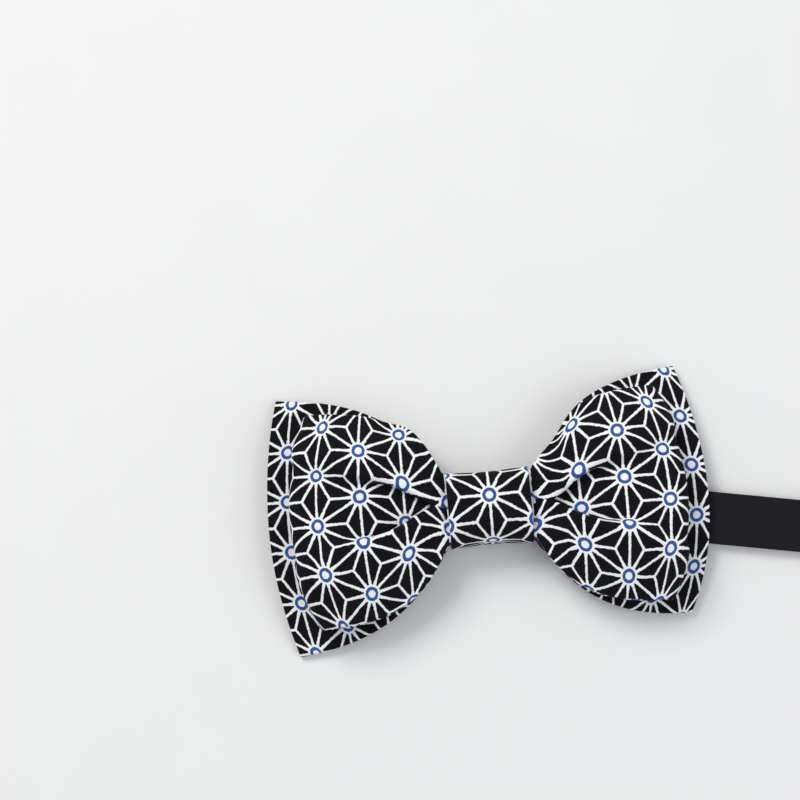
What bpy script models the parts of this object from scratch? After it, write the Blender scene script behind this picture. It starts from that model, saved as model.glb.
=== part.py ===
"""A pre-tied bow tie, lying face up with its neck band undone beside it.

The bow is a looped front and a flat back leaf, each of two plies of cotton with an interlining between,
gathered at the middle, bound with thread and covered by a wrapped knot. A 14 mm band runs through the
back of the knot: one end carries a slider and a hook, the other a ring.
+X runs along the bow, +Y is the bow's upper side, +Z comes out of its face. Lengths below are in mm.
"""

import math

import bmesh
import bpy
import numpy as np

MM = 0.001

# The bow
LEAF_HALF = 60.0
LOOP_HALF = 54.0
KNOT_HALF = 11.5
FLARE_START = 12.2
GATHER_HALF = 7.0
LEAF_RISE, LEAF_RUN = 29.5, 17.0
LOOP_RISE, LOOP_RUN = 23.0, 13.0
LEAF_EDGE_BOW = 0.092
LOOP_EDGE_BOW = 0.11
PLY = 0.6
PLY_STEP = 0.9
LEAF_Z = 5.5
LOOP_BACK_Z = 8.2
LOOP_FRONT_Z = 11.0
LOOP_LIFT = 1.0
LOOP_CROWN = 4.4
FOLD_RADIUS = 3.2
DROOP = 4.0

# The knot
KNOT_REAR_Z, KNOT_FRONT_Z = 1.1, 15.6
KNOT_HEIGHT_HALF = 10.2
WRAP = 0.8
GAP = 0.3
THREAD_R = 0.2

# The neck band, along its own length s from the middle of the knot
BAND = 0.8
BAND_WIDTH = 14.0
BAND_Y = -1.0
BEND_START, BEND_END = 18.0, 34.0
SKEW = math.radians(10.6)
FLOOR_RUN_Z = BAND / 2
UPPER_RUN_Z = 2.8
LEFT_FOLD_S = -48.0
FEED_S = 122.7
SLIDER_S, TURN_S, RING_S = 104.0, 142.0, 190.0

# The metal
HOOK_BAR_R = 0.6
RING_WIRE_R = 0.55
SLIDER_BAR_R = 0.5
SLIDER_BAR_Z = 5.1
RETURN_Z = 5.4


def clear_scene():
    for old in list(bpy.data.objects):
        bpy.data.objects.remove(old)


def material(name, colour, roughness, metallic=0.0):
    made = bpy.data.materials.new(name)
    made.use_nodes = True
    shader = made.node_tree.nodes["Principled BSDF"]
    shader.inputs["Base Color"].default_value = (*colour, 1.0)
    shader.inputs["Roughness"].default_value = roughness
    shader.inputs["Metallic"].default_value = metallic
    return made


def place(name, mesh, finish, parent=None):
    made = bpy.data.objects.new(name, mesh)
    mesh.materials.append(finish)
    bpy.context.scene.collection.objects.link(made)
    made.parent = parent
    return made


def mesh_of(name, points, faces):
    """A mesh from points in millimetres, with its faces turned outwards."""
    mesh = bpy.data.meshes.new(name)
    mesh.from_pydata([tuple(c * MM for c in p) for p in points], [], faces)
    shape = bmesh.new()
    shape.from_mesh(mesh)
    bmesh.ops.recalc_face_normals(shape, faces=shape.faces)
    shape.to_mesh(mesh)
    shape.free()
    mesh.shade_smooth()
    mesh.set_sharp_from_angle(angle=math.radians(40))
    return mesh


def slab(name, upper, lower, finish, ring=False, parent=None):
    """A closed sheet between two equal grids of points; ring joins its first row to its last."""
    rows, columns = len(upper), len(upper[0])
    points = [p for grid in (upper, lower) for row in grid for p in row]
    under = rows * columns

    def at(i, j):
        return (i % rows) * columns + j

    faces = []
    for i in range(rows if ring else rows - 1):
        for j in range(columns - 1):
            quad = (at(i, j), at(i + 1, j), at(i + 1, j + 1), at(i, j + 1))
            faces.append(quad)
            faces.append(tuple(under + k for k in reversed(quad)))
        for j in (0, columns - 1):
            a, b = at(i, j), at(i + 1, j)
            faces.append((a, b, under + b, under + a))
    if not ring:
        for i in (0, rows - 1):
            for j in range(columns - 1):
                a, b = at(i, j), at(i, j + 1)
                faces.append((a, b, under + b, under + a))
    return place(name, mesh_of(name, points, faces), finish, parent)


def sides_of(path, thickness):
    """The two edges of a strip of this thickness whose middle follows a path in a plane."""
    path = np.array(path, float)
    ahead = np.gradient(path, axis=0)
    ahead /= np.linalg.norm(ahead, axis=1)[:, None]
    out = np.stack([-ahead[:, 1], ahead[:, 0]], axis=1) * thickness / 2
    return path + out, path - out


def straight(s, w, z):
    return (s, w, z)


def laid(s, w, z):
    """Where a point of the neck band lies: straight through the knot, then veering off to the right."""
    radius = (BEND_END - BEND_START) / SKEW
    turned = min(max((s - BEND_START) / radius, 0.0), SKEW)
    beyond = max(s - BEND_END, 0.0)
    start = min(s, BEND_START)
    x = start + (radius + w) * math.sin(turned) + beyond * math.cos(turned)
    y = BAND_Y - radius + (radius + w) * math.cos(turned) - beyond * math.sin(turned)
    return (x, y, z)


def ribbon(name, path, finish, width=BAND_WIDTH, thickness=BAND, where=straight, parent=None):
    """A flat strip whose long section follows path, a list of (s, z)."""
    above, below = sides_of(path, thickness)
    rows = [
        [[where(s, w, z) for w in (-width / 2, width / 2)] for s, z in side]
        for side in (above, below)
    ]
    return slab(name, rows[0], rows[1], finish, parent=parent)


def arc(centre, radius, start, end, count):
    """Points (s, z) of an arc, with its angles in degrees from +s towards +z."""
    angles = np.radians(np.linspace(start, end, count))
    return [(centre[0] + radius * math.cos(a), centre[1] + radius * math.sin(a)) for a in angles]


def line(start, end, step):
    count = max(2, math.ceil(math.dist(start, end) / step) + 1)
    return [tuple(p) for p in np.linspace(start, end, count)]


def joined(*runs):
    """One path from several, with points that meet made one."""
    path = []
    for run in runs:
        for p in run:
            if not path or math.dist(path[-1], p) > 0.05:
                path.append(p)
    return path


def tube(name, points, radius, finish, sides=8, cyclic=False, parent=None):
    """A round bar, wire or thread through points in millimetres."""
    curve = bpy.data.curves.new(name, "CURVE")
    curve.dimensions = "3D"
    curve.bevel_depth = radius * MM
    curve.bevel_resolution = sides // 2 - 2
    curve.use_fill_caps = True
    spline = curve.splines.new("POLY")
    spline.points.add(len(points) - 1)
    for knot, p in zip(spline.points, points):
        knot.co = (*(c * MM for c in p), 1.0)
    spline.use_cyclic_u = cyclic
    made = bpy.data.objects.new(name, curve)
    curve.materials.append(finish)
    bpy.context.scene.collection.objects.link(made)
    made.parent = parent
    return made


def rod(name, start, end, radius, finish, sides=12, parent=None):
    """A straight round bar as a mesh, which a Boolean can join."""
    ahead = np.array(end, float) - np.array(start, float)
    length = np.linalg.norm(ahead)
    shape = bmesh.new()
    bmesh.ops.create_cone(
        shape, cap_ends=True, segments=sides, radius1=radius, radius2=radius, depth=length
    )
    axis = ahead / length
    middle = (np.array(start, float) + np.array(end, float)) / 2
    turn = np.cross((0, 0, 1), axis)
    matrix = np.eye(3)
    if np.linalg.norm(turn) > 0.5:
        matrix = np.column_stack([np.cross(turn, axis), turn, axis])
    points = [middle + matrix @ np.array(v.co) for v in shape.verts]
    faces = [[v.index for v in f.verts] for f in shape.faces]
    shape.free()
    return place(name, mesh_of(name, points, faces), finish, parent)


def join(base, *others):
    """Unites hidden shapes with base, and leaves base as one solid."""
    for other in others:
        cut = base.modifiers.new("join_" + other.name, "BOOLEAN")
        cut.operation = "UNION"
        cut.object = other
        other.hide_render = True
        other.display_type = "WIRE"
    return base


def pivot(name, s, z):
    """An empty on a joint's axis, turned to the run of the band there."""
    made = bpy.data.objects.new(name, None)
    bpy.context.scene.collection.objects.link(made)
    made.location = [c * MM for c in laid(s, 0.0, z)]
    made.rotation_euler = (0.0, 0.0, -SKEW)
    return made


def flare(x, rise, run):
    """Half the height of a wing at x: the gathered height, then a quick round spread."""
    return GATHER_HALF + rise * (1 - math.exp(-max(abs(x) - FLARE_START, 0.0) / run))


def droop(x, y):
    return DROOP * min(abs(x) / 55, 1.0) * (y / 34) ** 2


def sheet_point(x, v, z, rise, run, bow, reach):
    """A point of a wing: v is -1 at its lower edge and 1 at its upper edge."""
    outward = min(max((abs(x) - 20) / (reach - 20), 0.0), 1.0)
    px = x * (1 - bow * v * v * outward)
    py = v * flare(x, rise, run)
    return (px, py, z - droop(px, py))


ACROSS = [k / 4 for k in range(-4, 5)]
HALF_STATIONS = (0.0, FLARE_START, 14.5, 17.5, 21.5, 27.0, 34.0, 43.0, 52.0, LEAF_HALF)


def back_leaf(name, layer, finish):
    """One ply of the flat butterfly behind the loops; layer is -1, 0 or 1 from the back."""
    stations = [-x for x in reversed(HALF_STATIONS[1:])] + list(HALF_STATIONS)
    grids = []
    for side in (PLY / 2, -PLY / 2):
        z = LEAF_Z + layer * PLY_STEP + side
        shape = (LEAF_RISE, LEAF_RUN, LEAF_EDGE_BOW, LEAF_HALF)
        grids.append([[sheet_point(x, v, z, *shape) for v in ACROSS] for x in stations])
    return slab(name, grids[0], grids[1], finish)


def loop_path():
    """The loop's middle line at the bow's axis: (x, z, outward x, outward z) from the middle of its back."""
    straight_end = LOOP_HALF - FOLD_RADIUS - PLY_STEP - PLY / 2
    fold_z = LOOP_BACK_Z + LOOP_LIFT + FOLD_RADIUS
    out = [(0.0, LOOP_BACK_Z)]
    for x in (FLARE_START, 14.5, 18, 23, 30, 38, 45):
        out.append((x, LOOP_BACK_Z + LOOP_LIFT * (x / straight_end) ** 0.7))
    out += arc((straight_end, fold_z), FOLD_RADIUS, -90, 90, 9)
    top = fold_z + FOLD_RADIUS
    for x in (46.0, 40, 33, 27, 22, 18, 15, FLARE_START):
        share = (x - FLARE_START) / (straight_end - FLARE_START)
        crown = LOOP_CROWN * math.sin(math.pi * min(share * 1.05, 1.0)) ** 0.8
        out.append((x, LOOP_FRONT_Z + (top - LOOP_FRONT_Z) * share**0.7 + crown * 0.5))
    out.append((0.0, LOOP_FRONT_Z))
    path = np.array(out + [(-x, z) for x, z in out[-2:0:-1]])
    ahead = np.roll(path, -1, axis=0) - np.roll(path, 1, axis=0)
    ahead /= np.linalg.norm(ahead, axis=1)[:, None]
    return path, np.stack([ahead[:, 1], -ahead[:, 0]], axis=1)


def front_loop(name, layer, finish):
    """One ply of the looped front; layer is 1 for the outer ply, 0 for the interlining and -1 inside."""
    path, outward = loop_path()
    shape = (LOOP_RISE, LOOP_RUN, LOOP_EDGE_BOW, LOOP_HALF)
    grids = []
    for side in (PLY / 2, -PLY / 2):
        ring = path + outward * (layer * PLY_STEP + side)
        grids.append([[sheet_point(x, v, z, *shape) for v in ACROSS] for x, z in ring])
    return slab(name, grids[0], grids[1], finish, ring=True)


def knot_section(inset, start=0, end=360, count=33):
    """The knot's outline across the bow, (y, z): flat at the back and round in front, moved in by inset."""
    half = KNOT_HEIGHT_HALF - inset
    rear, front = KNOT_REAR_Z + inset, KNOT_FRONT_Z - inset
    corner = 2.4 - inset
    round_part = 4.4 - inset
    points = arc((half - round_part, front - round_part), round_part, 0, 90, 7)
    points += arc((-half + round_part, front - round_part), round_part, 90, 180, 7)
    points += arc((-half + corner, rear + corner), corner, 180, 270, 5)
    points += arc((half - corner, rear + corner), corner, 270, 360, 5)
    return points


def knot_wrap(name, finish):
    """The covering band of the knot, a short tube that is a little waisted."""
    grids = []
    for inset in (0.0, WRAP):
        rows = []
        for y, z in knot_section(inset):
            row = []
            for k in range(-3, 4):
                waist = 1 - 0.02 * (1 - (k / 3) ** 2) * (z > KNOT_REAR_Z + 4)
                row.append((KNOT_HALF * k / 3, y * waist, z))
            rows.append(row)
        grids.append(rows)
    return slab(name, grids[0], grids[1], finish, ring=True)


def knot_interlining(name, finish):
    """The stiff strip inside the knot, over its front and sides only."""
    outer, inner = WRAP + GAP, WRAP + GAP + 0.5
    half = KNOT_HALF - 0.6
    grids = []
    for inset in (outer, inner):
        section = knot_section(inset)[:14]
        section = [(section[0][0], 5.0)] + section + [(section[-1][0], 5.0)]
        grids.append([[(half * k, y * 0.985, z) for k in (-1, -0.4, 0.4, 1)] for y, z in section])
    return slab(name, grids[0], grids[1], finish)


def centre_binding(name, finish):
    """Thread wound round the gathered plies, inside the knot."""
    around = []
    low, high, reach = LEAF_Z - PLY_STEP - PLY / 2, LOOP_FRONT_Z + PLY_STEP + PLY / 2, GATHER_HALF
    for y, z, start in ((reach, high, 0), (-reach, high, 90), (-reach, low, 180), (reach, low, 270)):
        around += arc((y, z), GAP + 2 * THREAD_R, start, start + 90, 4)
    turns = 4
    count = turns * len(around)
    points = [(-2.4 + 4.8 * i / count, *around[i % len(around)]) for i in range(count + 1)]
    return tube(name, points, THREAD_R, finish, sides=6)


def knot_stitches(name, finish):
    """The hand stitches that close the wrap, along its rear upper corner."""
    points = []
    for i in range(19):
        lift = 0.35 if i % 2 else 0.05
        points.append((-KNOT_HALF + 1.5 + i * (2 * KNOT_HALF - 3) / 18, KNOT_HEIGHT_HALF + 0.3 + lift, 4.2))
    return tube(name, points, 0.16, finish, sides=6)


def neck_band(name, finish):
    """The long strip: out over the wing's back, round under the bow, and on to the ring."""
    fold = (UPPER_RUN_Z - FLOOR_RUN_Z) / 2
    ring_fold = RING_WIRE_R + GAP - 0.05 + BAND / 2
    upper_left = line((FEED_S, UPPER_RUN_Z), (LEFT_FOLD_S, UPPER_RUN_Z), 6)
    bent = [(s, UPPER_RUN_Z) for s in np.arange(BEND_END, BEND_START - 0.1, -2.0)]
    upper = sorted(set(upper_left + bent), key=lambda p: -p[0])
    lower = line((LEFT_FOLD_S, FLOOR_RUN_Z), (RING_S, FLOOR_RUN_Z), 6)
    bent = [(s, FLOOR_RUN_Z) for s in np.arange(BEND_START, BEND_END + 0.1, 2.0)]
    lower = sorted(set(lower + bent), key=lambda p: p[0])
    path = joined(
        upper,
        arc((LEFT_FOLD_S, FLOOR_RUN_Z + fold), fold, 90, 270, 9),
        lower,
        arc((RING_S, FLOOR_RUN_Z + ring_fold), ring_fold, -90, 90, 9),
        [(RING_S - 2.5, 2.35), (RING_S - 5, 1.6), (RING_S - 8, 1.5), (RING_S - 12, 1.5)],
    )
    return ribbon(name, path, finish, where=laid)


def band_turn(name, finish, parent):
    """The turn of the band round the hook's bar, about its own origin."""
    radius = HOOK_BAR_R + GAP + BAND / 2
    path = joined(
        line((-4, -radius), (0, -radius), 2),
        arc((0, 0), radius, -90, 90, 9),
        line((0, radius), (-4, radius), 2),
    )
    return ribbon(name, path, finish, parent=parent)


def band_fold(name, finish, parent):
    """The band's sewn end, folded round the slider's middle bar."""
    radius = SLIDER_BAR_R + GAP + BAND / 2
    upper, lower = RETURN_Z - SLIDER_BAR_Z, RETURN_Z - SLIDER_BAR_Z - BAND - GAP
    path = joined(
        [(9, lower), (7, lower), (5, lower), (2.5, lower - 0.25)],
        arc((0, 0), radius, 270, 90, 9),
        [(2.5, upper + 0.6), (5, upper + 0.05), (7, upper), (9, upper)],
    )
    return ribbon(name, path, finish, parent=parent)


def bar_tack(name, s, z, finish, parent=None, where=straight):
    """A dense line of stitches across the band."""
    points = [where(s + (0.35 if i % 2 else -0.35), -5.5 + 11 * i / 22, z) for i in range(23)]
    return tube(name, points, 0.17, finish, sides=6, parent=parent)


def slider(name, finish, parent):
    """A formed adjuster: two outer bars under the band and a raised middle bar over it."""
    outer_z = 1.6 - SLIDER_BAR_Z
    reach = 8.4
    shape = rod(name, (0, -reach, 0), (0, reach, 0), SLIDER_BAR_R, finish, parent=parent)
    parts = [
        rod(f"{name}_bar_{k}", (5.2 * k, -reach, outer_z), (5.2 * k, reach, outer_z), SLIDER_BAR_R, finish, parent=parent)
        for k in (-1, 1)
    ]
    for k in (-1, 1):
        path = joined(
            [(-5.9, outer_z), (-4.6, outer_z), (-3.4, outer_z + 0.6), (-2.0, -0.9), (-1.0, -0.1)],
            [(0, 0.05), (1.0, -0.1), (2.0, -0.9), (3.4, outer_z + 0.6), (4.6, outer_z), (5.9, outer_z)],
        )
        cheek = ribbon(f"{name}_cheek_{k}", path, finish, width=1.5, thickness=1.1, parent=parent)
        cheek.location = (0.0, k * 8.3 * MM, 0.0)
        parts.append(cheek)
    return join(shape, *parts)


def hook(name, finish, parent):
    """A sheet-metal hook: a slotted end on the band, a tongue, and a lip curled under it."""
    reach = 8.4
    shape = rod(name, (0, -reach, 0), (0, reach, 0), HOOK_BAR_R, finish, parent=parent)
    tongue_path = joined(
        line((2.6, 0), (12.6, 0), 2.5),
        arc((12.6, -1.1), 1.1, 90, -90, 9),
        line((12.6, -2.2), (7.5, -2.2), 2.5),
    )
    tongue = ribbon(f"{name}_tongue", tongue_path, finish, width=8, thickness=1.0, parent=parent)
    bridge = ribbon(f"{name}_bridge", line((2.4, 0), (4.8, 0), 1.2), finish, width=17.6, thickness=1.04, parent=parent)
    parts = [tongue, bridge]
    for k in (-1, 1):
        cheek = ribbon(f"{name}_cheek_{k}", line((-0.9, 0), (4.4, 0), 2.6), finish, width=1.4, thickness=1.1, parent=parent)
        cheek.location = (0.0, k * 8.1 * MM, 0.0)
        parts.append(cheek)
    return join(shape, *parts)


def ring(name, finish, parent):
    """A rectangular wire eye with round corners, its inner bar on the joint's axis."""
    half, depth, corner = 8.6, 9.0, 1.4
    points = []
    for cx, cy, start in ((depth, half, 0), (0, half, 90), (0, -half, 180), (depth, -half, 270)):
        centre_x = cx - corner if cx else corner
        centre_y = cy - math.copysign(corner, cy)
        for a in np.radians(np.linspace(start, start + 90, 5)):
            points.append((centre_x + corner * math.cos(a), centre_y + corner * math.sin(a), 0))
    return tube(name, points, RING_WIRE_R, finish, sides=8, cyclic=True, parent=parent)


def main():
    clear_scene()
    print_cotton = material("printed_cotton", (0.012, 0.012, 0.018), 0.85)
    canvas = material("interlining_canvas", (0.82, 0.8, 0.74), 0.9)
    thread = material("black_thread", (0.02, 0.02, 0.024), 0.6)
    band = material("band_twill", (0.014, 0.013, 0.02), 0.7)
    nickel = material("nickel", (0.66, 0.65, 0.63), 0.28, 1.0)

    for layer, part in ((1, "face"), (0, "interlining"), (-1, "lining")):
        back_leaf(f"back_leaf_{part}", layer, canvas if layer == 0 else print_cotton)
    for layer, part in ((1, "outer"), (0, "interlining"), (-1, "inner")):
        front_loop(f"front_loop_{part}", layer, canvas if layer == 0 else print_cotton)
    knot_wrap("knot_wrap", print_cotton)
    knot_interlining("knot_interlining", canvas)
    centre_binding("centre_binding", thread)
    knot_stitches("knot_stitches", thread)

    neck_band("neck_band", band)
    bar_tack("ring_bar_tack", RING_S - 9.5, 2.3, thread, where=laid)

    slider_pivot = pivot("slider_pivot", SLIDER_S, SLIDER_BAR_Z)
    slider("slider", nickel, slider_pivot)
    band_fold("band_end_fold", band, slider_pivot)
    bar_tack("slider_bar_tack", 7.0, RETURN_Z - SLIDER_BAR_Z + 0.7, thread, parent=slider_pivot)

    turn_pivot = pivot("turn_pivot", TURN_S, UPPER_RUN_Z + HOOK_BAR_R + GAP + BAND / 2)
    band_turn("band_turn", band, turn_pivot)
    hook("hook", nickel, turn_pivot)
    feed_end = (TURN_S - 4.3, UPPER_RUN_Z)
    ribbon("band_feed", line((FEED_S + 0.3, UPPER_RUN_Z), feed_end, 6), band, where=laid)
    ribbon(
        "band_return",
        line((SLIDER_S + 9.3, RETURN_Z), (TURN_S - 4.3, RETURN_Z), 6),
        band,
        where=laid,
    )

    ring_pivot = pivot("ring_pivot", RING_S, FLOOR_RUN_Z + RING_WIRE_R + GAP - 0.05 + BAND / 2)
    ring("ring", nickel, ring_pivot)


main()
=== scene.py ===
"""The looks of a pre-tied bow tie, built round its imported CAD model: printed cotton, band and metal.

Lengths in the shape functions are in millimetres in the row frame: +X along the bow, +Y towards its upper
edge, +Z out of its face. Meshes are turned into metres when they are made.
"""

import math

import bpy
import numpy as np
from mathutils import Matrix, Vector


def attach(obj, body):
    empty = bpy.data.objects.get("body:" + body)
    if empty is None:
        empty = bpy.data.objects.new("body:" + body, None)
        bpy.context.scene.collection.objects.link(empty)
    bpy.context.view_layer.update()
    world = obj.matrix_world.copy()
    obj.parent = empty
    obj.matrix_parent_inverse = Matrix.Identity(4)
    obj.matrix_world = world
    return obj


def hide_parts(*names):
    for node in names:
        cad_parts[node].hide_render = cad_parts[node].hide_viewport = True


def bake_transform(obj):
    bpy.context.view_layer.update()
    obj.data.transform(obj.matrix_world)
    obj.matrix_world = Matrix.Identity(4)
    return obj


MM = 0.001
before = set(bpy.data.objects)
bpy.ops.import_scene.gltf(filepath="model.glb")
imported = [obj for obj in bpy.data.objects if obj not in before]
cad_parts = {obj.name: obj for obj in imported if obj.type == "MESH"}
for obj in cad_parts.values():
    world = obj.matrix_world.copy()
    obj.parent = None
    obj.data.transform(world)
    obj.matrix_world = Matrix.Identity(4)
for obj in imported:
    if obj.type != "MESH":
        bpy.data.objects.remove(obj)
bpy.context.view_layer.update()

# ---------------------------------------------------------------- sizes, in mm
STAR = 13.9  # from one star of the print to the next
COLUMN = STAR * math.sqrt(3) / 2
KNOT_HALF = 11.5
KNOT_ENDS = (-10.7, 11.1)
SKEW = math.radians(10.6)
BEND_START, BEND_END, BAND_Y = 18.0, 34.0, -1.0
SLIDER_S, TURN_S, RING_S = 104.0, 142.0, 190.0
FLOOR_RUN_Z, UPPER_RUN_Z, RETURN_Z = 0.4, 2.8, 5.4
TURN_Z, SLIDER_Z, RING_Z = 4.1, 5.1, 1.6
BAND_HALF, BAND_EDGE = 7.0, 0.3
LEAF_THICK, LOOP_THICK, KNOT_THICK, BAND_THICK = 1.5, 1.3, 1.0, 0.75
CUT_SCALE = 100.0  # mm of the flat cut to one unit of its UV map
WAVE_PERIOD = 0.31  # mm from band to band of a wave texture at scale 1

# ---------------------------------------------------------------- the print, in mm
LINE_HALF, LINE_WOBBLE = 0.165, 0.32  # half the width of a white line, and how much wider it gets in places
FLARE = (2.0, 5.4, 0.12, 0.0)  # the lines widen by 0.12 towards a star's centre
DISC_EDGE = (2.42, 2.58)  # the white disc of a star ends between these radii
RING_INNER, RING_OUTER = (0.98, 1.08), (1.86, 1.98)  # and its blue ring starts and ends between these


# ---------------------------------------------------------------- node helpers
class Nodes:
    """Builds a shader's node tree from expressions."""

    def __init__(self, name):
        self.material = bpy.data.materials.new(name)
        self.material.use_nodes = True
        self.tree = self.material.node_tree
        self.shader = self.tree.nodes["Principled BSDF"]

    def add(self, kind, **values):
        node = self.tree.nodes.new(kind)
        for key, value in values.items():
            setattr(node, key, value)
        return node

    def put(self, socket, value):
        if isinstance(value, bpy.types.NodeSocket):
            self.tree.links.new(value, socket)
        else:
            socket.default_value = value

    def math(self, operation, a, b=0.0, c=0.0, clamp=False):
        node = self.add("ShaderNodeMath", operation=operation, use_clamp=clamp)
        for socket, value in zip(node.inputs, (a, b, c)):
            self.put(socket, value)
        return node.outputs[0]

    def hypotenuse(self, a, b):
        return self.math("SQRT", self.math("ADD", self.math("MULTIPLY", a, a), self.math("MULTIPLY", b, b)))

    def vector(self, operation, a, b=(0, 0, 0), scale=1.0):
        node = self.add("ShaderNodeVectorMath", operation=operation)
        self.put(node.inputs[0], a)
        if operation == "SCALE":
            self.put(node.inputs["Scale"], scale)
        else:
            self.put(node.inputs[1], b)
        return node.outputs["Value" if operation in ("DOT_PRODUCT", "LENGTH") else "Vector"]

    def mix(self, share, a, b):
        node = self.add("ShaderNodeMix", data_type="RGBA")
        self.put(node.inputs["Factor"], share)
        self.put(node.inputs["A"], a)
        self.put(node.inputs["B"], b)
        return node.outputs["Result"]

    def ramp(self, value, low, high, to_low=0.0, to_high=1.0):
        node = self.add("ShaderNodeMapRange", interpolation_type="SMOOTHSTEP")
        for socket, number in zip(node.inputs, (value, low, high, to_low, to_high)):
            self.put(socket, number)
        return node.outputs[0]

    def noise(self, where, scale, detail=2.0, roughness=0.5):
        node = self.add("ShaderNodeTexNoise")
        self.put(node.inputs["Vector"], where)
        self.put(node.inputs["Scale"], scale)
        self.put(node.inputs["Detail"], detail)
        self.put(node.inputs["Roughness"], roughness)
        return node

    def bump(self, height, distance, strength=1.0, under=None):
        node = self.add("ShaderNodeBump")
        self.put(node.inputs["Height"], height)
        self.put(node.inputs["Distance"], distance)
        self.put(node.inputs["Strength"], strength)
        if under is not None:
            self.put(node.inputs["Normal"], under)
        return node.outputs["Normal"]

    def cut(self):
        """A point of the flat cut, in mm, from the UV map."""
        uv = self.add("ShaderNodeUVMap", uv_map="cut").outputs["UV"]
        return self.vector("SCALE", uv, scale=CUT_SCALE)


def rgba(r, g, b):
    return (r, g, b, 1.0)


def hemp_leaf(n, where):
    """(line, ring) shares of the print: a star at each point of a triangular lattice."""
    row = STAR / 2
    jitter = n.noise(where, 1.1, detail=5.0, roughness=0.75).outputs["Color"]
    jitter = n.vector("SUBTRACT", jitter, (0.5, 0.5, 0.5))
    where = n.vector("ADD", where, n.vector("SCALE", jitter, scale=0.62))
    nearest_line, star = None, None
    for k in range(3):
        angle = math.radians(60 * k)
        along = (math.cos(angle), math.sin(angle), 0.0)
        across = (-math.sin(angle), math.cos(angle), 0.0)
        a = n.math("DIVIDE", n.vector("DOT_PRODUCT", where, along), COLUMN)
        b = n.math("DIVIDE", n.vector("DOT_PRODUCT", where, across), row)
        whole_line = n.math("MULTIPLY", n.math("ABSOLUTE", n.math("SUBTRACT", a, n.math("ROUND", a))), COLUMN)
        j = n.math("ROUND", b)
        off = n.math("MULTIPLY", n.math("SUBTRACT", b, j), row)
        half = n.math("MULTIPLY", n.math("SUBTRACT", a, j), 0.5)
        reach = n.math("ABSOLUTE", n.math("SUBTRACT", half, n.math("ROUND", half)))
        reach = n.math("MULTIPLY", reach, 2 * COLUMN)
        beyond = n.math("MAXIMUM", n.math("SUBTRACT", reach, COLUMN * 2 / 3), 0.0)
        spoke = n.hypotenuse(off, beyond)
        line = n.math("MINIMUM", whole_line, spoke)
        nearest_line = line if nearest_line is None else n.math("MINIMUM", nearest_line, line)
        if k == 0:
            star = n.hypotenuse(off, reach)
    wobble = n.noise(where, 1.7, detail=4.0, roughness=0.7).outputs["Fac"]
    wobble = n.math("MULTIPLY", wobble, LINE_WOBBLE)
    flared = n.ramp(star, *FLARE)
    width = n.math("ADD", n.math("ADD", wobble, LINE_HALF), flared)
    edge = n.math("SUBTRACT", nearest_line, width)
    lines = n.ramp(edge, -0.05, 0.06, 1.0, 0.0)
    disc = n.ramp(star, *DISC_EDGE, 1.0, 0.0)
    line = n.math("MAXIMUM", lines, disc)
    ring = n.math("MULTIPLY", n.ramp(star, *RING_INNER), n.ramp(star, *RING_OUTER, 1.0, 0.0))
    return line, ring


def printed_cotton(name):
    n = Nodes(name)
    where = n.cut()
    line, ring = hemp_leaf(n, where)
    weave_x = n.add("ShaderNodeTexWave", wave_type="BANDS", bands_direction="X")
    weave_y = n.add("ShaderNodeTexWave", wave_type="BANDS", bands_direction="Y")
    for wave in (weave_x, weave_y):
        n.put(wave.inputs["Vector"], where)
        n.put(wave.inputs["Scale"], WAVE_PERIOD / 0.36)
        n.put(wave.inputs["Distortion"], 0.8)
        n.put(wave.inputs["Detail"], 2.0)
    weave = n.math("MULTIPLY", weave_x.outputs["Fac"], weave_y.outputs["Fac"])
    fleck = n.noise(where, 3.2, detail=4.0, roughness=0.7).outputs["Fac"]
    patch = n.noise(where, 0.12, detail=3.0).outputs["Fac"]
    black = n.mix(n.ramp(fleck, 0.3, 0.75), rgba(0.0025, 0.0025, 0.0035), rgba(0.0065, 0.0065, 0.009))
    black = n.mix(n.ramp(patch, 0.35, 0.7, 0.0, 0.35), black, rgba(0.009, 0.009, 0.012))
    white = n.mix(n.ramp(fleck, 0.25, 0.8), rgba(0.95, 0.955, 0.965), rgba(0.86, 0.875, 0.895))
    blue = n.mix(n.ramp(fleck, 0.3, 0.75), rgba(0.018, 0.075, 0.30), rgba(0.04, 0.135, 0.42))
    colour = n.mix(line, black, white)
    colour = n.mix(ring, colour, blue)
    colour_weave = n.mix(n.math("MULTIPLY", weave, 0.10), colour, rgba(0.03, 0.03, 0.035))
    n.put(n.shader.inputs["Base Color"], colour_weave)
    n.put(n.shader.inputs["Roughness"], n.ramp(n.math("ADD", line, fleck), 0.2, 1.6, 0.92, 0.74))
    n.shader.inputs["Specular IOR Level"].default_value = 0.11
    n.shader.inputs["Sheen Weight"].default_value = 0.02
    n.shader.inputs["Sheen Roughness"].default_value = 0.45
    fine = n.bump(weave, 0.00007, 0.7)
    raised = n.bump(line, 0.00004, 0.5, fine)
    creases = n.noise(where, 0.45, detail=3.0).outputs["Fac"]
    n.put(n.shader.inputs["Normal"], n.bump(creases, 0.00022, 0.5, raised))
    return n.material


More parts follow.
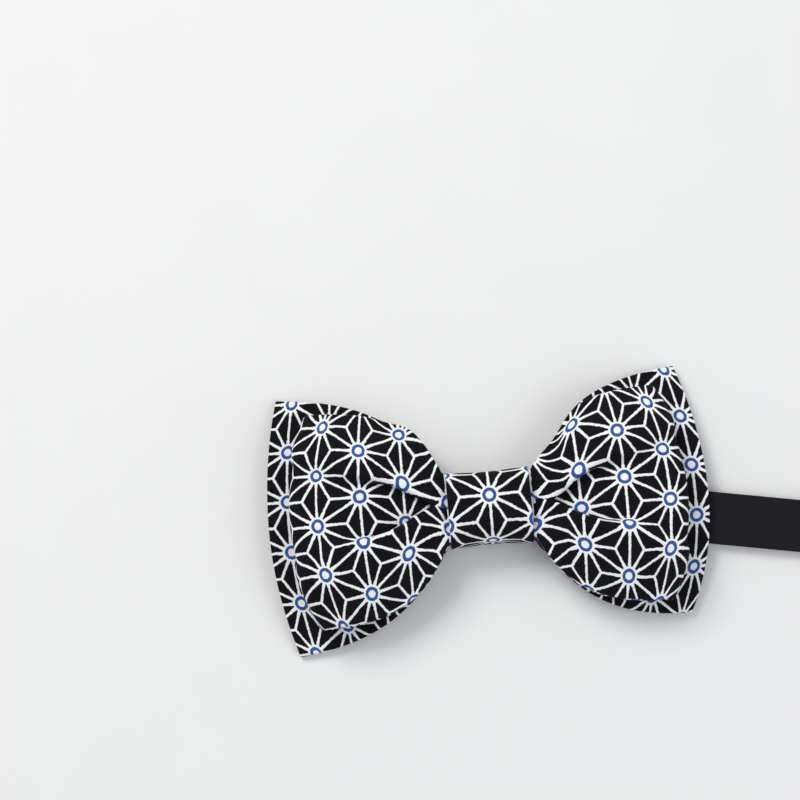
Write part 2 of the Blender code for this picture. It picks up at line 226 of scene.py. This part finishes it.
def band_cloth(name):
    n = Nodes(name)
    where = n.cut()
    twill = n.add("ShaderNodeTexWave", wave_type="BANDS", bands_direction="DIAGONAL")
    n.put(twill.inputs["Vector"], where)
    n.put(twill.inputs["Scale"], WAVE_PERIOD / 0.5)
    n.put(twill.inputs["Distortion"], 0.5)
    yarn = n.add("ShaderNodeTexWave", wave_type="BANDS", bands_direction="Y")
    n.put(yarn.inputs["Vector"], where)
    n.put(yarn.inputs["Scale"], WAVE_PERIOD / 0.34)
    n.put(yarn.inputs["Distortion"], 0.7)
    twill_share = n.math("MULTIPLY", twill.outputs["Fac"], 0.6)
    height = n.math("ADD", twill_share, n.math("MULTIPLY", yarn.outputs["Fac"], 0.4))
    fleck = n.noise(where, 1.6, detail=4.0, roughness=0.7).outputs["Fac"]
    # painted shade: the twill's low grooves are coloured darker and its raised ribs lighter, following the
    # same height as the bump
    colour = n.mix(height, rgba(0.0035, 0.0032, 0.0045), rgba(0.0125, 0.0115, 0.0155))
    colour = n.mix(n.ramp(fleck, 0.35, 0.75, 0.0, 0.5), colour, rgba(0.016, 0.015, 0.020))
    n.put(n.shader.inputs["Base Color"], colour)
    n.put(n.shader.inputs["Roughness"], n.ramp(fleck, 0.3, 0.7, 0.62, 0.8))
    n.shader.inputs["Specular IOR Level"].default_value = 0.14
    n.shader.inputs["Sheen Weight"].default_value = 0.03
    n.shader.inputs["Sheen Roughness"].default_value = 0.4
    n.put(n.shader.inputs["Normal"], n.bump(height, 0.00012, 0.8))
    return n.material


def thread(name):
    n = Nodes(name)
    place = n.add("ShaderNodeTexCoord").outputs["Object"]
    strand = n.noise(place, 2600.0, detail=2.0).outputs["Fac"]
    n.put(n.shader.inputs["Base Color"], n.mix(strand, rgba(0.008, 0.008, 0.01), rgba(0.04, 0.04, 0.046)))
    n.put(n.shader.inputs["Roughness"], n.ramp(strand, 0.3, 0.7, 0.4, 0.6))
    n.put(n.shader.inputs["Normal"], n.bump(strand, 0.00008, 0.6))
    return n.material


def nickel(name):
    n = Nodes(name)
    place = n.add("ShaderNodeTexCoord").outputs["Object"]
    grain = n.noise(place, 900.0, detail=4.0, roughness=0.6).outputs["Fac"]
    wear = n.noise(place, 160.0, detail=3.0).outputs["Fac"]
    colour = n.mix(n.ramp(wear, 0.3, 0.75), rgba(0.58, 0.565, 0.54), rgba(0.46, 0.445, 0.42))
    n.put(n.shader.inputs["Base Color"], colour)
    n.put(n.shader.inputs["Roughness"], n.ramp(wear, 0.3, 0.75, 0.18, 0.36))
    n.shader.inputs["Metallic"].default_value = 1.0
    n.put(n.shader.inputs["Normal"], n.bump(grain, 0.00002, 0.35))
    return n.material


COTTON = printed_cotton("printed_cotton_print")
BAND = band_cloth("band_ribbed_weave")
THREAD = thread("black_sewing_thread")
NICKEL = nickel("nickel_plate")


# ---------------------------------------------------------------- mesh helpers
def made(name, points, faces, uvs, finish):
    """A piece from points in mm, faces, and a UV (in mm of the flat cut) for each point."""
    mesh = bpy.data.meshes.new(name)
    mesh.from_pydata([tuple(p) for p in np.array(points) * MM], [], faces)
    layer = mesh.uv_layers.new(name="cut")
    corner = np.empty(len(mesh.loops), np.int32)
    mesh.loops.foreach_get("vertex_index", corner)
    layer.data.foreach_set("uv", (np.array(uvs, float)[corner] / CUT_SCALE).ravel())
    mesh.shade_smooth()
    mesh.set_sharp_from_angle(angle=math.radians(60))
    mesh.materials.append(finish)
    piece = bpy.data.objects.new(name, mesh)
    bpy.context.scene.collection.objects.link(piece)
    return piece


def normals_of(grid, ring):
    if ring:
        ahead = np.roll(grid, -1, 0) - np.roll(grid, 1, 0)
    else:
        ahead = np.gradient(grid, axis=0)
    across = np.gradient(grid, axis=1)
    n = np.cross(ahead, across)
    return n / np.maximum(np.linalg.norm(n, axis=2, keepdims=True), 1e-9)


def shell(name, grid, flat, thickness, finish, ring=False, rim=4):
    """Cloth of this thickness round a grid of points, with rounded edges; flat holds each point's UV."""
    rows, columns = grid.shape[:2]
    normal = normals_of(grid, ring)
    half = thickness / 2
    around, uv_around = [], []
    for j in range(columns):
        around.append(grid[:, j] + normal[:, j] * half)
        uv_around.append(flat[:, j])
    for side, j, before in ((1, columns - 1, columns - 2), (-1, 0, 1)):
        out = grid[:, j] - grid[:, before]
        out /= np.linalg.norm(out, axis=1, keepdims=True)
        step = flat[:, j] - flat[:, before]
        step = step / np.maximum(np.linalg.norm(step, axis=1, keepdims=True), 1e-6)
        rim_points, rim_uvs = [], []
        for k in range(1, rim):
            a = math.pi * k / rim
            rim_points.append(grid[:, j] + normal[:, j] * half * math.cos(a) + out * half * math.sin(a))
            rim_uvs.append(flat[:, j] + step * half * a)
        if side == 1:
            around += rim_points
            uv_around += rim_uvs
            for j2 in range(columns - 1, -1, -1):
                around.append(grid[:, j2] - normal[:, j2] * half)
                uv_around.append(flat[:, j2])
        else:
            around += rim_points[::-1]
            uv_around += rim_uvs[::-1]
    points = np.stack(around, 1)
    uvs = np.stack(uv_around, 1)
    count = points.shape[1]
    faces = []
    for i in range(rows if ring else rows - 1):
        nxt = (i + 1) % rows
        for j in range(count):
            k = (j + 1) % count
            faces.append((i * count + j, nxt * count + j, nxt * count + k, i * count + k))
    if not ring:
        faces.append(tuple(range(count)))
        faces.append(tuple((rows - 1) * count + j for j in reversed(range(count))))
    return made(name, points.reshape(-1, 3), faces, uvs.reshape(-1, 2), finish)


def smooth(t):
    """An eased step from 0 to 1."""
    t = np.clip(t, 0.0, 1.0)
    return t * t * (3 - 2 * t)


def lengths_of(path):
    """The length along a path at each of its points."""
    steps = np.linalg.norm(np.diff(path, axis=0), axis=1)
    return np.concatenate([[0.0], np.cumsum(steps)])


# ---------------------------------------------------------------- the bow
GATHER = 7.3
LEAF = {"rise": 29.0, "run": 15.5, "bow": 0.092, "half": 60.6}
LOOP = {"rise": 22.0, "run": 9.5, "bow": 0.125, "half": 55.2}
FLARE_START = 12.2
OPENS, OPEN_START, OPEN_RUN = 1.9, 9.8, 2.2  # how far, and where, each edge springs out of the knot
SETTLE_AT, SETTLE_RUN, SETTLE_LEFT, SETTLE_RIGHT = 18.5, 5.5, 2.4, -3.6
DROOP, DROOP_X, DROOP_Y = 4.0, 55, 34  # how far a wing's corner hangs, and where that corner is
STRIP_SLACK = 0.15
PRINT_RIGHT, PRINT_LEFT = (50.4, -3.0), (-47.9, -2.0)  # where a star sits on each loop's flat cut
LEAF_PRINT_RIGHT, LEAF_PRINT_LEFT = (57.0, 7.0), (-55.0, 6.5)
KNOT_PRINT = (0.3, 2.3)


def half_height(x, cut):
    opened = OPENS * smooth((np.abs(x) - OPEN_START) / OPEN_RUN)
    flared = 1 - np.exp(-np.maximum(np.abs(x) - FLARE_START, 0) / cut["run"])
    return GATHER + opened + (cut["rise"] - OPENS) * flared


def settle(x, t):
    """How far a wing's upper edge stands above its cut near the knot: it is lower on the right."""
    near = np.exp(-(((np.abs(x) - SETTLE_AT) / SETTLE_RUN) ** 2))
    return near * np.maximum(t, 0.0) ** 1.5 * (SETTLE_LEFT if x < 0 else SETTLE_RIGHT)


def droop(x, y):
    return DROOP * np.minimum(np.abs(x) / DROOP_X, 1.0) * (y / DROOP_Y) ** 2


# How much cloth the folds hide at each distance from the knot's middle.
EXTRA = ((0, 6.0), (12, 6.5), (16, 9.5), (21, 12.3), (27, 9.4), (34, 4.6), (42, 1.4), (60, 0.3))
# For each side: (height at the knot, start, slope) of the lower and the upper fold, and the lower's share.
FOLDS = {
    -1: ((0.9, 0.5, -0.386), (0.9, 0.8, 0.46), 0.62),
    1: ((-0.1, 2.6, -0.457), (0.1, 3.0, 0.49), 0.54),
}
STEEPEST = math.radians(158)


def fold_width(hidden):
    """The width of cloth that turns under in a fold that hides this much: shallow folds are wide."""
    return 2.5 + 0.5 * hidden + 4.0 * (1 - float(smooth(hidden / 4.0)))


def turn_under(t):
    """Share of the fold's steepest angle, across its width."""
    return smooth(t / 0.36) * smooth((1 - t) / 0.36)


def section(half, extra, puff, folds, columns):
    """The cross-section of a gathered strip: (flat v, y, offset).

    Its lower and upper lobes each turn under at a fold, towards a valley between them. How far they turn is
    solved, so that the cloth keeps its width and the strip is 2 * half high."""
    lower_y, upper_y, share = folds
    flat_half = half + extra / 2
    v = np.linspace(-flat_half, flat_half, columns)
    lower, upper = lower_y - extra / 2, upper_y + extra / 2
    widths = np.array([fold_width(extra * share), fold_width(extra * (1 - share))])
    widths *= min(1.0, (upper - lower - 0.2) / widths.sum())
    base = -puff * (v / flat_half) ** 3 - 0.35 * puff * (v / flat_half)
    shape = turn_under((upper - v) / widths[1]) - turn_under((v - lower) / widths[0])
    step = v[1] - v[0]

    def lay(steep):
        angle = base + steep * shape
        dy, dq = np.cos(angle) * step, np.sin(angle) * step
        y = np.concatenate([[0], np.cumsum((dy[1:] + dy[:-1]) / 2)])
        q = np.concatenate([[0], np.cumsum((dq[1:] + dq[:-1]) / 2)])
        return y, q

    low, high = 0.0, STEEPEST
    for _ in range(30):
        steep = (low + high) / 2
        y, q = lay(steep)
        if y[-1] - y[0] > 2 * half:
            low = steep
        else:
            high = steep
    y, q = lay((low + high) / 2)
    y -= (y[0] + y[-1]) / 2
    y *= 2 * half / max(y[-1] - y[0], 1e-6)
    return v, y, q - q.max()


def loop_side(sign, columns):
    """Rows of the loop from the middle of its front out to the fold and back to the middle of its back."""
    cut = LOOP
    fold_r, edge_gap = 3.4, 0.6
    back_z, lift = 8.2, 1.0
    start_z, crown = 11.3, 2.6
    end = cut["half"] - fold_r - edge_gap
    fold_z = back_z + lift + fold_r
    top = fold_z + fold_r
    xs = np.concatenate([[0.0, 4.0, 8.0, 10.5], np.linspace(12.2, 24, 20), np.linspace(24.8, end, 26)])
    share = np.clip((xs - FLARE_START) / (end - FLARE_START), 0, 1)
    zs = start_z + (top - start_z) * smooth(share / 0.9) ** 0.8
    zs = zs + crown * np.sin(math.pi * np.clip(share * 1.08, 0, 1)) ** 0.7
    front = [(x, z) for x, z in zip(xs, zs)]
    angles = np.radians(np.linspace(90, -90, 13))[1:-1]
    fold = [(end + fold_r * 1.15 * math.cos(a), fold_z + fold_r * math.sin(a)) for a in angles]
    xb = np.concatenate([np.linspace(end, 26, 14), np.linspace(24, 12.2, 8), [8.0, 4.0]])
    back = [(x, back_z + lift * min(x / end, 1.0) ** 0.7) for x in xb]
    path = np.array(front + fold + back)
    ahead = np.gradient(path, axis=0)
    ahead /= np.linalg.norm(ahead, axis=1)[:, None]
    outward = np.stack([-ahead[:, 1], ahead[:, 0]], 1)
    length = lengths_of(path)
    fading = np.linspace(1, 0, len(fold) + 2)[1:-1]
    is_front = np.concatenate([np.ones(len(front)), fading, np.zeros(len(back))])
    grid = np.zeros((len(path), columns, 3))
    flat = np.zeros((len(path), columns, 2))
    extras = np.interp(path[:, 0], [e[0] for e in EXTRA], [e[1] for e in EXTRA])
    for i, ((x, z), (nx, nz), s, f) in enumerate(zip(path, outward, length, is_front)):
        half = half_height(x, cut)
        extra = extras[i] * f + STRIP_SLACK
        puff = math.radians(34) * f * float(smooth((x - 10) / 16)) * (1 - 0.85 * float(smooth((x - 24) / 26)))
        (low_y, low_start, low_slope), (high_y, high_start, high_slope), share = FOLDS[sign]
        beyond = x - KNOT_HALF
        lower_y = low_y + low_slope * max(beyond - low_start, 0.0)
        upper_y = high_y + high_slope * max(beyond - high_start, 0.0)
        v, y, q = section(half, extra, puff, (lower_y, upper_y, share), columns)
        near = math.exp(-max(x - 12, 0) / 8.0)
        t = v / (half + extra / 2)
        ripple = np.sin(9.0 * math.pi * t + 1.3 * sign + 0.05 * x)
        q = q + near * f * 0.12 * ripple * np.exp(-((np.abs(t) - 0.55) / 0.3) ** 2)
        q = q + f * 0.35 * np.sin(0.11 * x + 2.2 * t + sign) * np.cos(2.7 * t - 0.07 * x)
        outer = np.clip((x - 20) / (cut["half"] - 20), 0, 1)
        level = f * (1 - float(smooth((x - end + 8) / 8)))
        px = x * (1 - cut["bow"] * (y / half) ** 2 * outer) + nx * q * (1 - level)
        pz = z + (level + (1 - level) * nz) * q
        under_z = back_z + lift * min(x / end, 1.0) ** 0.7
        pz = under_z + (pz - under_z) * (1 - 0.62 * np.abs(t) ** 3 * float(smooth((x - 22) / 24)))
        if level > 0:
            floor_z = under_z + 1.5
            clear = np.log1p(np.exp((pz - floor_z) / 0.4)) * 0.4 + floor_z
            pz = pz + level * (clear - pz)
        grid[i, :, 0] = sign * px
        y = y + settle(sign * x, t)
        grid[i, :, 1] = y
        grid[i, :, 2] = pz - droop(px, y)
        bunched = (2.5 if sign > 0 else 0.6) * math.exp(-max(x - 12, 0) / 7.0) * f
        flat[i, :, 0] = sign * (s + bunched)
        flat[i, :, 1] = v
    return grid, flat


def front_loops():
    columns = 161
    right, flat_right = loop_side(1, columns)
    left, flat_left = loop_side(-1, columns)
    flat_right = flat_right - np.array(PRINT_RIGHT)
    flat_left = flat_left - np.array(PRINT_LEFT)
    grid = np.concatenate([right, left[:0:-1]])
    flat = np.concatenate([flat_right, flat_left[:0:-1]])
    piece = shell("front_loop_cloth", grid, flat, LOOP_THICK, COTTON, ring=True)
    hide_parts("front_loop_outer", "front_loop_interlining", "front_loop_inner")
    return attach(piece, "bow")


def back_leaf():
    columns = 61
    xs = np.concatenate([np.linspace(0, 12.2, 5), np.linspace(13, LEAF["half"], 48)])
    xs = np.concatenate([-xs[:0:-1], xs])
    grid = np.zeros((len(xs), columns, 3))
    flat = np.zeros((len(xs), columns, 2))
    t = np.linspace(-1, 1, columns)
    for i, x in enumerate(xs):
        half = half_height(x, LEAF)
        outer = np.clip((abs(x) - 20) / (LEAF["half"] - 20), 0, 1)
        px = x * (1 - LEAF["bow"] * t * t * outer)
        py = t * half + settle(x, t)
        near = math.exp(-max(abs(x) - 12, 0) / 10.0)
        corner = outer * np.maximum(-t, 0) ** 2 * (x > 0)
        px, py = px * (1 - 0.035 * corner), py * (1 - 0.075 * corner)
        px = px * (1 + 0.022 * outer * np.maximum(t, 0) ** 2 * (x < 0))
        wave = 0.35 * near * np.sin(5.0 * math.pi * t + 0.7) + 0.30 * np.sin(0.09 * x + 2.0 * t) * outer
        grid[i] = np.stack([px, py, 5.5 - droop(px, py) + wave], 1)
        flat[i] = np.stack([np.full(columns, x), py], 1)
    shift = np.where(flat[:, :, :1] > 0, np.array(LEAF_PRINT_RIGHT), np.array(LEAF_PRINT_LEFT))
    piece = shell("back_leaf_cloth", grid, flat - shift, LEAF_THICK, COTTON)
    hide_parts("back_leaf_face", "back_leaf_interlining", "back_leaf_lining")
    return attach(piece, "bow")


def knot():
    """The wrap: a rounded box section, squarer behind and at the top, swelling a little towards each end."""
    count, rows = 96, 41
    angle = np.linspace(0, 2 * math.pi, count, endpoint=False) + math.pi / 2
    grid = np.zeros((count, rows, 3))
    flat = np.zeros((count, rows, 2))
    front_z, rear_z, mid = 15.4, 1.5, 7.4
    for j, x in enumerate(np.linspace(KNOT_ENDS[0], KNOT_ENDS[1], rows)):
        end = abs(x) / KNOT_ENDS[1]
        half = 9.2 + 0.8 * end**2
        lift = -0.9 * end**3
        c, s = np.cos(angle), np.sin(angle)
        power_y = np.where(s > 0, np.where(c > 0, 2 / 3.4, 2 / 2.2), 2 / 8.5)
        power_z = np.where(s > 0, 2 / 2.5, 2 / 8.5)
        y = half * np.sign(c) * np.abs(c) ** power_y
        up = front_z + lift - mid
        z = mid + np.where(s > 0, up, mid - rear_z) * np.sign(s) * np.abs(s) ** power_z
        z += 0.10 * np.sin(2.1 * y + 0.5 * x) * (z > mid)
        grid[:, j] = np.stack([np.full(count, x), y, z], 1)
    middle = grid[:, rows // 2]
    around = np.concatenate([[0], np.cumsum(np.linalg.norm(np.diff(middle, axis=0), axis=1))])
    total = around[-1] + np.linalg.norm(middle[0] - middle[-1])
    v = np.where(around > total / 2, around - total, around)
    flat[:, :, 0] = grid[:, :, 0] - KNOT_PRINT[0]
    flat[:, :, 1] = -v[:, None] - KNOT_PRINT[1]
    return knot_piece(grid, flat)


def knot_piece(grid, flat):
    """The wrap, opened at its rear seam so that its print runs on without a smear."""
    seam = len(grid) // 2
    order = list(range(seam, len(grid))) + list(range(0, seam + 1))
    rows = grid[order].copy()
    uvs = flat[order].copy()
    uvs[0, :, 1] = uvs[1, :, 1] + (uvs[1, :, 1] - uvs[2, :, 1])
    uvs[-1, :, 1] = uvs[-2, :, 1] + (uvs[-2, :, 1] - uvs[-3, :, 1])
    piece = shell("knot_cloth", rows, uvs, KNOT_THICK, COTTON)
    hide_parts("knot_wrap", "knot_interlining")
    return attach(piece, "bow")


def wire(name, points, radius, finish, cyclic=False, sides=3):
    """A round wire or thread through points in mm."""
    curve = bpy.data.curves.new(name, "CURVE")
    curve.dimensions = "3D"
    curve.bevel_depth = radius * MM
    curve.bevel_resolution = sides
    curve.use_fill_caps = True
    spline = curve.splines.new("POLY")
    spline.points.add(len(points) - 1)
    for knot_point, p in zip(spline.points, points):
        knot_point.co = (*(c * MM for c in p), 1.0)
    spline.use_cyclic_u = cyclic
    curve.materials.append(finish)
    piece = bpy.data.objects.new(name, curve)
    bpy.context.scene.collection.objects.link(piece)
    return piece


def slip_stitches():
    """Hand stitches that hold the wrap's edge down at its rear upper corner."""
    points = []
    for i in range(15):
        x = -9.8 + 1.4 * i
        points += [(x, 9.62, 2.5), (x + 0.15, 9.9, 3.0), (x + 0.75, 9.72, 3.9), (x + 0.9, 9.55, 3.7)]
    piece = wire("knot_slip_stitches", points, 0.13, THREAD)
    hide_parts("knot_stitches")
    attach(piece, "bow")


# ---------------------------------------------------------------- the band
def laid(s, w, z):
    """The point s along the band, w across it and z above the floor, on a band that bends to SKEW."""
    radius = (BEND_END - BEND_START) / SKEW
    turned = min(max((s - BEND_START) / radius, 0.0), SKEW)
    beyond = max(s - BEND_END, 0.0)
    start = min(s, BEND_START)
    x = start + (radius + w) * math.sin(turned) + beyond * math.cos(turned)
    y = BAND_Y - radius + (radius + w) * math.cos(turned) - beyond * math.sin(turned)
    return (x, y, z)


def arc(centre, radius, start, end, count):
    angles = np.radians(np.linspace(start, end, count))
    return [(centre[0] + radius * math.cos(a), centre[1] + radius * math.sin(a)) for a in angles]


def run(start, end, step=2.0):
    count = max(2, math.ceil(math.dist(start, end) / step) + 1)
    return [tuple(p) for p in np.linspace(start, end, count)]


def strap(name, rests_on, *runs, from_length=0.0):
    """A stretch of the band along runs of (s, z), and the length of tape at its far end."""
    path = []
    for part in runs:
        for p in part:
            if not path or math.dist(path[-1], p) > 0.05:
                path.append(p)
    columns = np.linspace(-BAND_HALF + BAND_EDGE, BAND_HALF - BAND_EDGE, 15)
    grid = np.array([[laid(s, w, z) for w in columns] for s, z in path])
    along = from_length + lengths_of(np.array(path))
    flat = np.stack(np.meshgrid(along, columns, indexing="ij"), 2)
    piece = shell(name, grid, flat, BAND_THICK, BAND)
    return piece, along[-1]


def neck_band():
    fold = (UPPER_RUN_Z - FLOOR_RUN_Z) / 2
    ring_r = RING_Z - FLOOR_RUN_Z
    turn_r = TURN_Z - UPPER_RUN_Z
    main, length = strap(
        "neck_band_strap",
        ["floor"],
        [(RING_S - 12, 1.5), (RING_S - 8, 1.5), (RING_S - 5, 1.6), (RING_S - 2.5, 2.35)],
        arc((RING_S, RING_Z), ring_r, 90, -90, 15),
        run((RING_S - 1, FLOOR_RUN_Z), (-48, FLOOR_RUN_Z)),
        arc((-48, FLOOR_RUN_Z + fold), fold, 270, 90, 15),
        run((-47, UPPER_RUN_Z), (110, UPPER_RUN_Z)),
    )
    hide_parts("neck_band")
    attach(main, "neck_band")
    feed, length2 = strap(
        "band_feed_strap",
        ["neck_band_strap", "hook_plate"],
        run((110.05, UPPER_RUN_Z), (TURN_S, UPPER_RUN_Z), 1.0),
        arc((TURN_S, TURN_Z), turn_r, -90, 90, 15),
        run((TURN_S, RETURN_Z), (137.5, RETURN_Z), 1.0),
        from_length=length,
    )
    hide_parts("band_feed", "band_turn")
    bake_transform(feed)
    slider_r = 1.2
    back, _ = strap(
        "band_return_strap",
        ["band_feed_strap", "slider_casting"],
        run((137.45, RETURN_Z), (SLIDER_S + 6, RETURN_Z), 1.0),
        [(SLIDER_S + 4.4, RETURN_Z + 0.12), (SLIDER_S + 2.6, RETURN_Z + 0.55)],
        [(SLIDER_S + 1.3, SLIDER_Z + slider_r - 0.08)],
        arc((SLIDER_S, SLIDER_Z), slider_r, 88, 268, 15),
        [(SLIDER_S + 2.5, SLIDER_Z - 1.15), (SLIDER_S + 5, RETURN_Z - 1.1), (SLIDER_S + 9, RETURN_Z - 1.1)],
        from_length=length2,
    )
    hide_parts("band_return", "band_end_fold")
    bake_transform(back)


# ---------------------------------------------------------------- the metal
def rounded(corners, radius, count=6):
    """A closed outline with round corners, from its corner points in order."""
    corners = [np.array(c, float) for c in corners]
    points = []
    for i, c in enumerate(corners):
        before, after = corners[i - 1] - c, corners[(i + 1) % len(corners)] - c
        before /= np.linalg.norm(before)
        after /= np.linalg.norm(after)
        for k in range(count + 1):
            a = k / count
            start, end = c + before * radius, c + after * radius
            points.append((1 - a) ** 2 * start + 2 * a * (1 - a) * c + a * a * end)
    return points


def ring():
    half, depth = 8.6, 9.0
    corners = [(RING_S + depth, half), (RING_S, half), (RING_S, -half), (RING_S + depth, -half)]
    points = [laid(s, w, RING_Z) for s, w in rounded(corners, 2.0)]
    piece = wire("ring_wire_eye", points, 0.55, NICKEL, cyclic=True, sides=6)
    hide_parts("ring")
    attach(piece, "ring")


def slider():
    """Three bars and two arched cheeks, in one casting."""
    foot, cheek_w, wire_r = (5.2, 1.6), 8.3, 0.55
    arch = [(-5.2, 1.6), (-4.7, 1.65), (-4.1, 2.0), (-3.4, 2.9), (-2.7, 3.9), (-1.9, 4.7), (-1.0, 5.1)]
    arch += [(0, 5.2)] + [(-s, z) for s, z in arch[::-1]]
    curve = bpy.data.curves.new("slider_casting", "CURVE")
    curve.dimensions = "3D"
    curve.bevel_depth = wire_r * MM
    curve.bevel_resolution = 6
    curve.use_fill_caps = True
    paths = [[(SLIDER_S + s, w, z) for s, z in arch] for w in (-cheek_w, cheek_w)]
    for s, z in ((-foot[0], foot[1]), (0, SLIDER_Z), foot):
        paths.append([(SLIDER_S + s, w, z) for w in np.linspace(-cheek_w, cheek_w, 9)])
    for path in paths:
        spline = curve.splines.new("POLY")
        spline.points.add(len(path) - 1)
        for knot_point, (s, w, z) in zip(spline.points, path):
            knot_point.co = (*(c * MM for c in laid(s, w, z)), 1.0)
    curve.materials.append(NICKEL)
    piece = bpy.data.objects.new("slider_casting", curve)
    bpy.context.scene.collection.objects.link(piece)
    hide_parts("slider")
    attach(piece, "slider")


def hook():
    """A stamped plate with a slot for the band, its tongue turned under at the tip."""
    bend_r, tip = 1.1, 12.6
    lines_w = [-8.8, -7.5, -4.0, -1.4, 1.4, 4.0, 7.5, 8.8]
    stations = [(-0.65, 0.0), (0.6, 0.0), (2.5, 0.0), (4.6, 0.0), (6.2, 0.0), (9.4, 0.0), (tip, 0.0)]
    for a in np.radians(np.linspace(65, -90, 7)):
        stations.append((tip + bend_r * math.cos(a), -bend_r + bend_r * math.sin(a)))
    stations += [(10.4, -2.25), (8.0, -2.35)]
    widths = [1.0] * 6 + [0.96, 0.94, 0.92, 0.90, 0.88, 0.86, 0.84, 0.82, 0.80, 0.66]
    points, index = [], {}
    for i, (s, z) in enumerate(stations):
        for j, w in enumerate(lines_w):
            index[i, j] = len(points)
            points.append(laid(TURN_S + s, w * widths[i], TURN_Z + z))
    faces = []
    for i in range(len(stations) - 1):
        for j in range(len(lines_w) - 1):
            slot_hole = i == 1 and 1 <= j <= 5
            beside_tongue = i >= 3 and not 2 <= j <= 4
            if not slot_hole and not beside_tongue:
                faces.append((index[i, j], index[i, j + 1], index[i + 1, j + 1], index[i + 1, j]))
    used = sorted({k for f in faces for k in f})
    renumber = {k: n for n, k in enumerate(used)}
    mesh = bpy.data.meshes.new("hook_plate")
    kept_points = [tuple(np.array(points[k]) * MM) for k in used]
    mesh.from_pydata(kept_points, [], [tuple(renumber[k] for k in f) for f in faces])
    mesh.shade_smooth()
    mesh.materials.append(NICKEL)
    piece = bpy.data.objects.new("hook_plate", mesh)
    bpy.context.scene.collection.objects.link(piece)
    thick = piece.modifiers.new("thickness", "SOLIDIFY")
    thick.thickness, thick.offset = 0.95 * MM, 0.0
    edge = piece.modifiers.new("rounded_edges", "BEVEL")
    edge.width, edge.segments, edge.limit_method = 0.28 * MM, 3, "ANGLE"
    edge.angle_limit = math.radians(50)
    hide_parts("hook")
    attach(piece, "hook")


# ---------------------------------------------------------------- finishes of the CAD nodes that stay
def refinish():
    kinds = {"centre_binding": THREAD, "ring_bar_tack": THREAD, "slider_bar_tack": THREAD}
    for node, finish in kinds.items():
        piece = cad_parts[node]
        for k in range(len(piece.material_slots)):
            piece.material_slots[k].material = finish


# ---------------------------------------------------------------- surroundings
def area(name, place, aim, size, power, colour=(1, 1, 1)):
    light = bpy.data.lights.new(name, "AREA")
    light.shape = "SQUARE"
    light.size = size
    light.energy = power
    light.color = colour
    made_light = bpy.data.objects.new(name, light)
    bpy.context.scene.collection.objects.link(made_light)
    made_light.location = place
    made_light.rotation_euler = (Vector(place) - Vector(aim)).to_track_quat("Z", "Y").to_euler()


def studio():
    mesh = bpy.data.meshes.new("floor")
    mesh.from_pydata([(-6, -6, 0), (6, -6, 0), (6, 6, 0), (-6, 6, 0)], [], [(0, 1, 2, 3)])
    floor = bpy.data.objects.new("floor", mesh)
    bpy.context.scene.collection.objects.link(floor)
    n = Nodes("pale_floor")
    place = n.add("ShaderNodeTexCoord").outputs["Object"]
    cloudy = n.noise(place, 30.0).outputs["Fac"]
    n.put(n.shader.inputs["Base Color"], n.mix(cloudy, rgba(0.80, 0.80, 0.80), rgba(0.83, 0.83, 0.83)))
    n.shader.inputs["Roughness"].default_value = 0.7
    n.shader.inputs["Specular IOR Level"].default_value = 0.2
    mesh.materials.append(n.material)
    world = bpy.data.worlds.new("studio")
    bpy.context.scene.world = world
    world.use_nodes = True
    world.node_tree.nodes["Background"].inputs["Color"].default_value = rgba(0.95, 0.97, 1.0)
    world.node_tree.nodes["Background"].inputs["Strength"].default_value = 0.52
    area("key", (-0.5, 0.75, 0.9), (0, 0, 0), 0.6, 9.6, (1.0, 0.985, 0.96))
    area("fill", (0.8, -0.5, 0.8), (0, 0, 0), 0.9, 4.2, (0.96, 0.98, 1.0))


def grading():
    """Plain display of colour, so that white cloth stays white and black cloth stays black."""
    bpy.context.scene.view_settings.view_transform = "Standard"
    bpy.context.scene.view_settings.look = "None"


def camera():
    """Nearly face-on, from a little below, with the bow's right side higher."""
    elevation, roll, distance = math.radians(80), math.radians(5.1), 700.0
    seen_width, film_width = 217.984, 36.0
    aim_left, aim_up = 24.251, 29.155  # from the knot to the middle of the view
    back = Vector((0, -math.cos(elevation), math.sin(elevation)))
    right0 = Vector((1, 0, 0))
    up0 = back.cross(right0)
    right = right0 * math.cos(roll) - up0 * math.sin(roll)
    up = right0 * math.sin(roll) + up0 * math.cos(roll)
    knot_front = Vector((0, -0.5, 12.0))
    target = knot_front - right * aim_left + up * aim_up
    lens = bpy.data.cameras.new("view")
    lens.lens = film_width * distance / seen_width
    lens.clip_start = 0.01
    view = bpy.data.objects.new("view", lens)
    bpy.context.scene.collection.objects.link(view)
    matrix = Matrix((right, up, back)).transposed().to_4x4()
    matrix.translation = (target + back * distance) * MM
    view.matrix_world = matrix
    bpy.context.scene.camera = view


camera()
grading()
studio()
back_leaf()
front_loops()
knot()
slip_stitches()
neck_band()
ring()
slider()
hook()
refinish()

bpy.context.view_layer.update()
